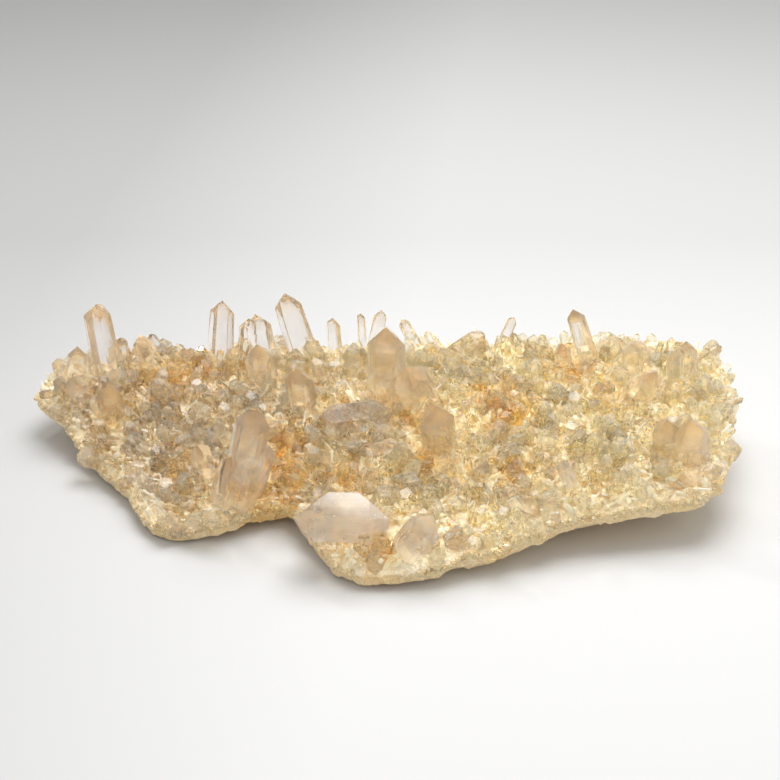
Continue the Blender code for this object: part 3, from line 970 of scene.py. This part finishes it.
@dataclass
class CrustField:
    """The crust's height and slope on a grid, for thousands of small crystals at a time."""

    cell: float = 4.0
    low: Pair = (-224.0, -106.0)
    high: Pair = (214.0, 118.0)
    slope_step: float = 1.5

    def __post_init__(self) -> None:
        """Measure the crust and the rim over the grid."""
        columns = np.arange(self.low[0], self.high[0], self.cell)
        rows = np.arange(self.low[1], self.high[1], self.cell)
        self.heights = np.array([[PLATE.crust_height(x, y) for y in rows] for x in columns])
        self.rims = np.array([
            [PLATE.rim_distance(x, y) * (1 if PLATE.holds(x, y) else -1) for y in rows]
            for x in columns
        ])

    def _read(self, table: np.ndarray, places: np.ndarray) -> np.ndarray:
        """Read a table at places, between its four nearest cells.

        Args:
            table: A value for each cell.
            places: The places on the plan.

        Returns:
            The value at each place.
        """
        at = (places[:, :2] - np.array(self.low)) / self.cell
        whole = np.floor(at).astype(int)
        share = at - whole
        i = np.clip(whole[:, 0], 0, table.shape[0] - 2)
        j = np.clip(whole[:, 1], 0, table.shape[1] - 2)
        near = table[i, j] * (1 - share[:, 0]) + table[i + 1, j] * share[:, 0]
        far = table[i, j + 1] * (1 - share[:, 0]) + table[i + 1, j + 1] * share[:, 0]
        return near * (1 - share[:, 1]) + far * share[:, 1]

    def height(self, places: np.ndarray) -> np.ndarray:
        """Height of the crust at each place."""
        return self._read(self.heights, places)

    def from_rim(self, places: np.ndarray) -> np.ndarray:
        """Distance of each place from the rim, negative outside."""
        return self._read(self.rims, places)

    def outward(self, places: np.ndarray) -> np.ndarray:
        """Find the crust's upward normal at each place.

        Args:
            places: The places on the plan.

        Returns:
            The normals.
        """
        step = self.slope_step
        normals = np.ones((len(places), 3))
        for axis in range(2):
            shift = np.zeros(places.shape)
            shift[:, axis] = step
            rise = self.height(places + shift) - self.height(places - shift)
            normals[:, axis] = -rise / (2 * step)
        return normals / np.linalg.norm(normals, axis=1)[:, None]


def large_axes() -> list[tuple[Vector, Vector, float]]:
    """List where the large crystals stand.

    Returns:
        Root, tip and half width of each.
    """
    return [
        (crystal.base(), crystal.stand() + Vector(crystal.reach), crystal.width * HALF_WIDTH)
        for crystal in itertools.chain.from_iterable(GROWTHS.values())
    ]


def room_around(point: Vector, axes: Sequence[tuple[Vector, Vector, float]]) -> float:
    """Measure how far a point is from the nearest large crystal's surface.

    Args:
        point: The point on the plan.
        axes: The large crystals.

    Returns:
        The distance, below zero inside a crystal.
    """
    return min(
        (point - closest_on(root, tip, point)[0]).length - half_width
        for root, tip, half_width in axes
    )


@dataclass
class RockPlate:
    """The plate itself: crust above, rest below, and the broken rim between."""

    cell: float = 2.6
    outline_step: float = 2.4
    outline_wear: float = 1.4
    rim_rows: int = 4
    undercut: float = 1.6
    undercut_reach: float = 7.0
    middle: Vector = field(default_factory=lambda: Vector((-5, 20)))
    flakes: float = 3.6
    fine_share: float = 0.45
    flake_depth: float = 5.0
    flake_scale: float = 0.1
    jag: float = 1.3
    lumps: float = 0.7
    grit: float = 0.3
    side_stain: float = 0.5
    cuts_across: Pair = (-218, 208)
    cuts_back: Pair = (-98, 112)
    sharp_angle: float = math.radians(34)

    def build(self) -> bpy.types.Object:
        """Make the plate's piece.

        Returns:
            The piece.
        """
        body = self._slab()
        self._shape(body)
        bmesh.ops.triangulate(body, faces=body.faces)
        bmesh.ops.recalc_face_normals(body, faces=body.faces)
        mesh = mesh_of("plate", body)
        mesh.shade_smooth()
        mesh.set_sharp_from_angle(angle=self.sharp_angle)
        return add_piece("plate_of_rock", mesh, RockFinish().material(), "cream_rock", PLATE_NODE)

    def _worn_outline(self) -> list[Vector]:
        """Follow the ragged outline again, with finer chips out of it.

        Returns:
            The places in order.
        """
        points = []
        for start, end, steps in walk(PLATE.ragged_outline(), self.outline_step):
            inward = Vector((start.y - end.y, end.x - start.x)).normalized()
            for step in range(steps):
                place = start.lerp(end, step / steps)
                chip = 0.5 + 0.5 * noise.noise(Vector((place.x, place.y, 12)) * 0.45)
                points.append(place + inward * chip * self.outline_wear)
        return points

    def _slab(self) -> bmesh.types.BMesh:
        """Raise a slab of the outline's shape, one high, and cut it into cells.

        Returns:
            The slab.
        """
        body = bmesh.new()
        loop = [body.verts.new((place.x, place.y, 0)) for place in self._worn_outline()]
        base = body.faces.new(loop)
        raised = bmesh.ops.extrude_face_region(body, geom=[base], use_keep_orig=True)
        verts = [item for item in raised["geom"] if isinstance(item, bmesh.types.BMVert)]
        bmesh.ops.translate(body, verts=verts, vec=UP)
        for x in np.arange(*self.cuts_across, self.cell):
            self._cut(body, Vector((x, 0, 0)), Vector((1, 0, 0)))
        for y in np.arange(*self.cuts_back, self.cell):
            self._cut(body, Vector((0, y, 0)), Vector((0, 1, 0)))
        for row in range(1, self.rim_rows + 1):
            self._cut(body, UP * row / (self.rim_rows + 1), UP)
        bmesh.ops.remove_doubles(body, verts=body.verts, dist=0.12)
        return body

    @staticmethod
    def _cut(body: bmesh.types.BMesh, place: Vector, across: Vector) -> None:
        """Cut the slab along a plane, with nothing taken away."""
        whole = body.verts[:] + body.edges[:] + body.faces[:]
        bmesh.ops.bisect_plane(body, geom=whole, plane_co=place, plane_no=across)

    def _shape(self, body: bmesh.types.BMesh) -> None:
        """Turn the slab's height, from 0 to 1, into the way from underside to crust.

        Args:
            body: The slab.
        """
        stain = body.verts.layers.float.new("stain")
        for vert in body.verts:
            x, y, share = vert.co
            from_rim, closest = PLATE.nearest_rim(x, y)
            place = Vector((x, y, 0))
            vert[stain] = STAIN.at(place) + (self.side_stain if share < 1 else 0)
            high = PLATE.crust_height(x, y) + self._roughness(place) * min(1, from_rim / 2)
            low = PLATE.underside_height(x, y)
            low = max(0.0, low - self._flake(place) * min(1.0, low / self.flake_depth))
            vert.co.z = low + (high - low) * share
            inward = (self.middle - closest).normalized()
            if from_rim < self.undercut_reach and share < 1:
                inward = inward * self.undercut * (1 - share)
                fade = 1 - from_rim / self.undercut_reach
                vert.co.x += inward.x * fade
                vert.co.y += inward.y * fade
            if 0 < share < 1:
                spot = Vector((x, y, vert.co.z * 2.2))
                proud = (closest - self.middle).normalized() * self._flake(spot)
                vert.co.x += proud.x + self.jag * noise.noise(spot * 0.42)
                vert.co.y += proud.y + self.jag * noise.noise(spot * 0.42 + UP * 40)

    def _flake(self, place: Vector) -> float:
        """Work out how far a broken face stands out: shallow bowls between sharp ridges.

        Args:
            place: The place on the plan.

        Returns:
            The distance.
        """
        broad, _ = noise.voronoi(place * self.flake_scale)
        fine, _ = noise.voronoi(place * self.flake_scale * 2.6 + UP * 8)
        return self.flakes * (broad[0] - 0.45 + (fine[0] - 0.45) * self.fine_share)

    def _roughness(self, place: Vector) -> float:
        """Work out how far the crust's own lumps and grit lift a place.

        Args:
            place: The place on the plan.

        Returns:
            The height.
        """
        lumps = noise.noise(place * 0.21 + UP * 5)
        grit = noise.noise(place * 0.7 + UP * 9)
        return self.lumps * lumps + self.grit * grit


@dataclass(frozen=True)
class Tints:
    """The small crystals' tints, by place and by chance: pale, honey, stained, and greyed left as
    painted shade.
    """

    pale: Triple = (1.0, 0.992, 0.93)
    honey: Triple = (1.0, 0.98, 0.855)
    ochre: Triple = (0.985, 0.88, 0.58)
    painted_shade_grey: Triple = (0.925, 0.885, 0.795)
    left_shade_share: float = 0.9
    left_shade_from: float = 60.0
    left_shade_width: float = 150.0

    def at(self, place: Vector, chance: random.Random) -> np.ndarray:
        """Choose a crystal's tint.

        Args:
            place: Its foot on the plan.
            chance: Where the draw comes from.

        Returns:
            The colour, in linear light.
        """
        stain = STAIN.at(place) * chance.uniform(0.4, 1.25)
        # painted shade: crystals further left lean towards the grey, as light falls off to that
        # side; partly the crust's own greyer tone
        left = held((self.left_shade_from - place.x) / self.left_shade_width, 0, 1.4) * self.left_shade_share
        warm = chance.triangular(0, 1, 0.25)
        tint = np.array(self.pale) * (1 - warm) + np.array(self.honey) * warm
        tint = tint * (1 - left) + np.array(self.painted_shade_grey) * left
        stain = min(stain, 1)
        tint = tint * (1 - stain) + np.array(self.ochre) * stain
        return np.append(tint * chance.uniform(0.97, 1.0), 1.0)


TINTS = Tints()


@dataclass
class MediumDruse:
    """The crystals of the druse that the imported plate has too, with worn edges."""

    finish: GrainFinish = GrainFinish("druse_quartz", 0.82, 0.22, 1.46, (1.0, 0.98, 0.91, 1))
    spacing: float = 15.0
    margin: float = 8.0
    lengths: Triple = (8, 23, 12)
    slimness: Pair = (0.38, 0.62)
    widest: float = 10.5
    lean: Triple = (4, 62, 34)
    root: float = 4.0
    clearance: float = 0.9
    slim_width: float = 9.6
    edge: float = 0.13

    def crystals(self) -> list[tuple[Vector, Vector, float, float, float]]:
        """Choose the crystals.

        Returns:
            Start, direction, length, width and turn of each.
        """
        places = random.Random(19)
        axes = large_axes()
        crystals = []
        for place in PLATE.spread_points(self.spacing, self.margin, 11):
            foot = Vector((place.x, place.y, PLATE.crust_height(place.x, place.y)))
            length = places.triangular(*self.lengths)
            width = min(length * places.uniform(*self.slimness), self.widest)
            lean = math.radians(places.triangular(*self.lean))
            toward = places.uniform(0, math.tau)
            turn = places.uniform(0, 60)
            direction = Vector((
                math.sin(lean) * math.cos(toward), math.sin(lean) * math.sin(toward), math.cos(lean)
            ))
            start = foot - direction * self.root
            whole = length + self.root
            steps = [start + direction * whole * step / 6 for step in range(7)]
            room = min(room_around(step, axes) for step in steps)
            if room > width * HALF_WIDTH + self.clearance:
                crystals.append((start, direction, whole, width, turn))
        return crystals

    def build(self) -> bpy.types.Object:
        """Make the piece: all of these crystals in one mesh.

        Returns:
            The piece.
        """
        body = bmesh.new()
        layer = body.verts.layers.float_color.new("tint")
        chance = random.Random(5)
        for number, (start, direction, length, width, turn) in enumerate(self.crystals()):
            habit = f"druse_{number:03d}"
            planes = FORM.planes(width, length, habit, minor_faces=width > self.slim_width)
            crystal = FORM.hull(planes, width * 0.03)
            soften(crystal, self.edge, 1)
            crystal.transform(FORM.stand(start, direction, turn))
            tint = TINTS.at(start, chance)
            mesh = bpy.data.meshes.new(habit)
            crystal.to_mesh(mesh)
            crystal.free()
            known = len(body.verts)
            body.from_mesh(mesh)
            bpy.data.meshes.remove(mesh)
            body.verts.ensure_lookup_table()
            for vert in body.verts[known:]:
                vert[layer] = tint
        mesh = mesh_of("druse", body)
        return add_piece("druse_points", mesh, self.finish.material(), Quartz.CLEAR.value)


def soften(body: bmesh.types.BMesh, width: float, segments: int) -> None:
    """Wear a crystal's edges.

    Args:
        body: The crystal.
        width: Width of the worn edge.
        segments: Faces across it.
    """
    sharp = [edge for edge in body.edges if edge.is_manifold and edge.calc_face_angle() > 0.09]
    bmesh.ops.bevel(
        body,
        geom=sharp,
        offset=width,
        offset_type="OFFSET",
        segments=segments,
        profile=0.5,
        affect="EDGES",
        clamp_overlap=True,
        material=-1,
    )


@dataclass
class SmallCrystals:
    """One size of the small crystals that crowd the crust, joined in a few meshes."""

    name: str
    finish: GrainFinish
    spacing: float
    lengths: Triple
    slimness: Pair
    lean: Triple
    margin: float
    root_share: float
    seed: int
    habits: int = 36
    most_triangles: int = 170_000
    triangles_each: int = 26
    jitter: float = 0.42
    covered: Pair = (0.1, 0.84)
    box_room: float = 1.6

    def build(self, crust: CrustField) -> list[bpy.types.Object]:
        """Make the pieces.

        Args:
            crust: The crust that they grow from.

        Returns:
            The pieces.
        """
        material = self.finish.material()
        feet, outward = self._feet(crust)
        chance = np.random.default_rng(self.seed)
        lengths = chance.triangular(*self.lengths, len(feet))
        axes = self._axes(outward, chance)
        inside = self._inside(feet + axes * (lengths * (1 - self.root_share))[:, None])
        feet, axes, lengths = feet[inside], axes[inside], lengths[inside]
        kinds = chance.integers(0, self.habits, len(feet))
        shapes = self._shapes()
        widths = lengths * np.array([slim for slim, _, _ in shapes])[kinds]
        roots = feet - axes * (lengths * self.root_share)[:, None]
        turned = self._turned(axes, chance.uniform(0, math.tau, len(feet)))
        draw = random.Random(self.seed)
        parts = []
        for kind, turn, width, root, foot in zip(kinds, turned, widths, roots, feet):
            _, corners, faces = shapes[kind]
            parts.append((corners @ turn.T * width + root, faces, TINTS.at(Vector(foot), draw)))
        pieces = []
        most = self.most_triangles // self.triangles_each
        for number, start in enumerate(range(0, len(parts), most), 1):
            mesh = joined(f"{self.name}_{number}", parts[start:start + most])
            pieces.append(add_piece(mesh.name, mesh, material, Quartz.CLEAR.value))
        return pieces

    def _inside(self, tips: np.ndarray) -> np.ndarray:
        """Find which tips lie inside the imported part's box.

        Args:
            tips: The tips on the plan.

        Returns:
            True for each that does.
        """
        low, high = (np.array(corner) for corner in CAD_BOX)
        places, room = in_frame(tips), self.box_room * MM
        return ((places > low + room) & (places < high - room)).all(axis=1)

    def _feet(self, crust: CrustField) -> tuple[np.ndarray, np.ndarray]:
        """Where the crystals stand, and which way is outward there.

        Args:
            crust: The crust that they grow from.

        Returns:
            Places all over the crust, clear of the large crystals, and the normals there.
        """
        chance = np.random.default_rng(self.seed + 100)
        row_step = self.spacing * math.sqrt(3) / 2
        columns = np.arange(-220, 208, self.spacing)
        rows = np.arange(-100, 112, row_step)
        x, y = np.meshgrid(columns, rows, indexing="ij")
        x = x + self.spacing * 0.5 * (np.arange(len(rows)) % 2)[None, :]
        places = np.stack([x.ravel(), y.ravel(), np.zeros(x.size)], axis=1)
        places[:, :2] += chance.uniform(-self.jitter, self.jitter, (len(places), 2)) * self.spacing
        places = places[crust.from_rim(places) > self.margin]
        places[:, 2] = crust.height(places)
        free = np.ones(len(places), dtype=bool)
        for root, tip, half_width in large_axes():
            a, b = np.array(root), np.array(tip)
            share = np.clip((places - a) @ (b - a) / ((b - a) @ (b - a)), *self.covered)
            gap = np.linalg.norm(places - (a + share[:, None] * (b - a)), axis=1)
            free &= gap > half_width * 0.86
        return places[free], crust.outward(places[free])

    def _axes(self, outward: np.ndarray, chance: np.random.Generator) -> np.ndarray:
        """Lean each crystal off the crust's normal.

        Args:
            outward: The crust's normal at each.
            chance: Where the draws come from.

        Returns:
            The direction of each.
        """
        count = len(outward)
        lean = np.radians(chance.triangular(*self.lean, count))
        toward = chance.uniform(0, math.tau, count)
        offset = np.stack([np.cos(toward), np.sin(toward), np.zeros(count)], axis=1)
        axes = outward * np.cos(lean)[:, None] + offset * np.sin(lean)[:, None]
        return axes / np.linalg.norm(axes, axis=1)[:, None]

    @staticmethod
    def _turned(axes: np.ndarray, turns: np.ndarray) -> np.ndarray:
        """Turn each crystal about its axis.

        Args:
            axes: The crystals' directions.
            turns: Their angles.

        Returns:
            Each crystal's three directions, as columns.
        """
        first = np.cross(np.array([0.31, 0.95, 0.02]), axes)
        first /= np.linalg.norm(first, axis=1)[:, None]
        second = np.cross(axes, first)
        cosine, sine = np.cos(turns)[:, None], np.sin(turns)[:, None]
        return np.stack([first * cosine + second * sine, second * cosine - first * sine, axes], 2)

    def _shapes(self) -> list[Habit]:
        """Make the habits.

        Returns:
            Slimness, corners for a width of one, and faces of each.
        """
        draw = random.Random(self.seed + 7)
        shapes = []
        for number in range(self.habits):
            slim = draw.uniform(*self.slimness)
            habit = f"{self.name} {number}"
            planes = FORM.planes(1.0, 1 / slim, habit, minor_faces=number % 3 == 0)
            shapes.append((slim, *taken_apart(FORM.hull(planes, 0.06))))
        return shapes


@dataclass
class RimCrystals(SmallCrystals):
    """Tiny crystals that roughen the plate's broken rim."""

    rows: tuple[float, ...] = (0.99, 0.86, 0.7)

    def _feet(self, crust: CrustField) -> tuple[np.ndarray, np.ndarray]:
        """Where the crystals stand, and which way is outward there.

        Args:
            crust: The crust, which the rim's own heights replace here.

        Returns:
            Places in rows round the rim, and the directions away from it.
        """
        draw = random.Random(self.seed)
        feet = []
        outward = []
        for start, end, steps in walk(PLATE.ragged_outline(), self.spacing):
            away = Vector((end.y - start.y, start.x - end.x)).normalized()
            for step, row in itertools.product(range(steps), self.rows):
                share = row + draw.uniform(-0.1, 0.02)
                place = start.lerp(end, (step + draw.random()) / steps)
                low, high = PLATE.underside_height(*place), PLATE.crust_height(*place)
                place = place - away * (self.margin + 1.6 * (1 - share))
                feet.append((place.x, place.y, low + (high - low) * share))
                outward.append((away.x, away.y, 0.15 + 0.7 * share ** 3))
        return np.array(feet), np.array(outward)


@dataclass
class GrownPoints:
    """The large crystals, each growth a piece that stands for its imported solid."""

    edge_share: float = 0.012
    finest_edge: float = 0.1
    segments: int = 2
    seam: float = 0.02
    doubles: float = 0.003
    sharp_angle: float = math.radians(28)

    def build(self) -> list[bpy.types.Object]:
        """Make the pieces.

        Returns:
            The pieces.
        """
        finishes = [*POINT_FINISHES.values(), *OWN_FINISHES.values()]
        materials = {finish: finish.material() for finish in dict.fromkeys(finishes)}
        pieces = []
        for name, crystals in GROWTHS.items():
            kind = quartz_of(name)
            material = materials[OWN_FINISHES.get(name, POINT_FINISHES[kind])]
            mesh = self._mesh(name, crystals)
            pieces.append(add_piece(f"{name}_quartz", mesh, material, kind.value, name))
        return pieces

    def _mesh(self, name: str, crystals: Sequence[Crystal]) -> bpy.types.Mesh:
        """One growth: its crystals joined, their edges worn.

        Args:
            name: The growth's name.
            crystals: Its crystals.

        Returns:
            The mesh in the shared frame.
        """
        things = [add_object(f"{name}_part", self._crystal(crystal)) for crystal in crystals]
        for other in things[1:]:
            join = things[0].modifiers.new("join", "BOOLEAN")
            join.operation = "UNION"
            join.solver = "EXACT"
            join.object = other
        graph = bpy.context.evaluated_depsgraph_get()
        body = bmesh.new()
        body.from_mesh(things[0].evaluated_get(graph).data)
        for thing in things:
            mesh = thing.data
            bpy.data.objects.remove(thing)
            bpy.data.meshes.remove(mesh)
        bmesh.ops.remove_doubles(body, verts=body.verts, dist=self.seam)
        width = max(self.finest_edge, crystals[0].width * self.edge_share)
        soften(body, width, self.segments)
        bmesh.ops.remove_doubles(body, verts=body.verts, dist=self.doubles)
        self._mark(body, crystals)
        for face in body.faces:
            face.smooth = True
        mesh = mesh_of(f"{name}_quartz", body)
        mesh.set_sharp_from_angle(angle=self.sharp_angle)
        return mesh

    @staticmethod
    def _crystal(crystal: Crystal) -> bpy.types.Mesh:
        """Make one crystal on the plan, with its root.

        Args:
            crystal: Its place and size.

        Returns:
            The mesh.
        """
        reach = Vector(crystal.reach)
        length = reach.length + crystal.root
        habit = f"{crystal.foot} {crystal.width}"
        planes = FORM.planes(crystal.width, length, habit, crystal.doubly_ended)
        body = FORM.hull(planes, crystal.width * 0.02)
        place = FORM.stand(crystal.base(), reach.normalized(), crystal.turn)
        return mesh_of("crystal", body, place)

    @staticmethod
    def _mark(body: bmesh.types.BMesh, crystals: Sequence[Crystal]) -> None:
        """Store lengths across and along each face, and how veiled each corner is.

        Args:
            body: The growth on the plan.
            crystals: Its crystals.
        """
        layer = body.loops.layers.uv.new("UVMap")
        veil = body.verts.layers.float.new("veil")
        feet = [crystal.stand() for crystal in crystals]
        for vert in body.verts:
            gaps = []
            for crystal, foot in zip(crystals, feet):
                closest, along = closest_on(foot, foot + Vector(crystal.reach), vert.co)
                gaps.append(((vert.co - closest).length / crystal.width, along))
            vert[veil] = held(1.15 - min(gaps)[1])
        axis = Vector(crystals[0].reach).normalized()
        for face in body.faces:
            across = face.normal.cross(axis)
            across = across.normalized() if across.length > 0.01 else axis.orthogonal().normalized()
            up = across.cross(face.normal)
            for loop in face.loops:
                loop[layer].uv = (loop.vert.co.dot(across) * 0.1, loop.vert.co.dot(up) * 0.1)


@dataclass(frozen=True)
class FloorFinish:
    """The pale surface under the cluster, with painted shade: greyer to the back and darker to the
    left.
    """

    pale: Colour = (0.665, 0.665, 0.664, 1)
    painted_shade_grey: Colour = (0.53, 0.53, 0.527, 1)
    left_shade_colour: Colour = (0.76, 0.76, 0.758, 1)
    roughness: float = 0.75

    def material(self) -> bpy.types.Material:
        """Make the floor's material.

        Returns:
            The material.
        """
        paint = Paint("pale_floor")
        place = {"Vector": paint.place()}
        x, y = (paint.node("ShaderNodeSeparateXYZ", place, axis) for axis in "XY")
        # painted shade: the floor turns grey towards the back and darker towards the left, as if
        # the light fell off
        colour = paint.mix(y.between(0.0, 0.4), self.pale, self.painted_shade_grey)
        colour = paint.mix((y * 0.1 - x).between(0.0, 0.29), colour, self.left_shade_colour, "MULTIPLY")
        return paint.finish(paint.principled({"Base Color": colour, "Roughness": self.roughness}))


@dataclass(frozen=True)
class Lamp:
    """A round lamp that faces the cluster: where it hangs, its diameter and its watts."""

    name: str
    place: Triple
    size: float
    power: float

    def hang(self) -> None:
        """Hang it."""
        lamp = bpy.data.lights.new(self.name, "AREA")
        lamp.shape = "DISK"
        lamp.size = self.size
        lamp.energy = self.power
        holder = add_object(self.name, lamp)
        holder.location = self.place
        holder.rotation_euler = (-holder.location).to_track_quat("-Z", "Y").to_euler()


@dataclass
class Studio:
    """Floor, soft light and the camera."""

    floor_size: float = 4.0
    sky: float = 0.69
    sky_colour: Colour = (1.0, 0.995, 0.985, 1)
    lamps: tuple[Lamp, ...] = (
        Lamp("soft_box", (0.17, 0.33, 1.22), 1.0, 14.9),
        Lamp("bright_disc", (-0.55, 0.75, 1.2), 0.14, 2.2),
    )
    bounces: int = 64
    lens: float = 70.0
    distance: float = 0.99
    elevation: float = math.radians(27)
    aim_back: float = 131.6

    def build(self) -> None:
        """Set up everything around the cluster."""
        self._floor()
        self._light()
        self._camera()
        bpy.context.scene.view_settings.view_transform = "Standard"
        light = bpy.context.scene.cycles
        light.max_bounces = self.bounces
        light.diffuse_bounces = 16
        light.glossy_bounces = self.bounces
        light.transmission_bounces = self.bounces
        light.blur_glossy = 0

    def _floor(self) -> None:
        """Lay the floor."""
        body = bmesh.new()
        bmesh.ops.create_grid(body, x_segments=8, y_segments=8, size=self.floor_size)
        floor = add_object("floor", mesh_of("floor", body, Matrix()))
        floor.data.materials.append(FloorFinish().material())

    def _light(self) -> None:
        """Light the room and hang the lamps."""
        world = bpy.data.worlds.new("pale_room")
        world.use_nodes = True
        sky = world.node_tree.nodes["Background"]
        sky.inputs["Color"].default_value = self.sky_colour
        sky.inputs["Strength"].default_value = self.sky
        bpy.context.scene.world = world
        for lamp in self.lamps:
            lamp.hang()

    def _camera(self) -> None:
        """Place the camera as the photograph was taken."""
        target = PLAN_TO_FRAME @ Vector((0, self.aim_back, 0))
        back = Vector((0, -math.cos(self.elevation), math.sin(self.elevation)))
        lens = bpy.data.cameras.new("view")
        lens.lens = self.lens
        camera = add_object("view", lens)
        camera.location = target + back * self.distance
        camera.rotation_euler = (math.pi / 2 - self.elevation, 0, 0)
        bpy.context.scene.camera = camera


SMALL_SIZES = [
    SmallCrystals(
        "clear_crystals", GrainFinish("clear_crystal_quartz", 1.0, 0.07, 1.5),
        spacing=10.6, lengths=(10.0, 15.0, 24.0), slimness=(0.2, 0.36),
        lean=(0, 44, 84), margin=3.5, root_share=0.22, seed=5,
    ),
    SmallCrystals(
        "short_crystals",
        GrainFinish("short_crystal_quartz", 0.8, 0.22, 1.46, (1.0, 0.982, 0.925, 1)),
        spacing=10.2, lengths=(9.0, 15.0, 23.0), slimness=(0.36, 0.58),
        lean=(0, 42, 82), margin=1.5, root_share=0.3, seed=3,
    ),
    SmallCrystals(
        "fine_crystals",
        GrainFinish("fine_crystal_quartz", 0.0, 0.15, 1.45, (0.98, 0.915, 0.75, 1)),
        spacing=4.3, lengths=(3.4, 5.6, 9.0), slimness=(0.32, 0.5),
        lean=(0, 40, 80), margin=2.6, root_share=0.3, seed=4,
    ),
    # Opaque white needles stand in for the crust's glints: painted highlights.
    SmallCrystals(
        "white_needles", GrainFinish("painted_glint_needle_quartz", 0.0, 0.08, 1.544, (1, 0.99, 0.98, 1)),
        spacing=6.2, lengths=(6.0, 9.0, 14.0), slimness=(0.07, 0.12),
        lean=(20, 50, 85), margin=5.0, root_share=0.2, seed=8,
    ),
    RimCrystals(
        "rim_crystals", GrainFinish("rim_crystal_quartz", 0.35, 0.1, 1.5, (0.99, 0.89, 0.63, 1)),
        spacing=3.0, lengths=(3.0, 5.0, 8.0), slimness=(0.3, 0.5),
        lean=(0, 34, 76), margin=1.0, root_share=0.5, seed=6,
    ),
]


def main() -> None:
    """Build the cluster and its surroundings, with the small crystals kept inside the imported
    part's box.
    """
    logging.basicConfig(level=logging.INFO, format="%(message)s")
    Studio().build()
    pieces = [RockPlate().build(), MediumDruse().build()]
    crust = CrustField()
    for size in SMALL_SIZES:
        pieces += size.build(crust)
    pieces += GrownPoints().build()
    for piece in pieces:
        LOG.info("%s: %d faces", piece.name, len(piece.data.polygons))


if __name__ == "__main__":
    main()
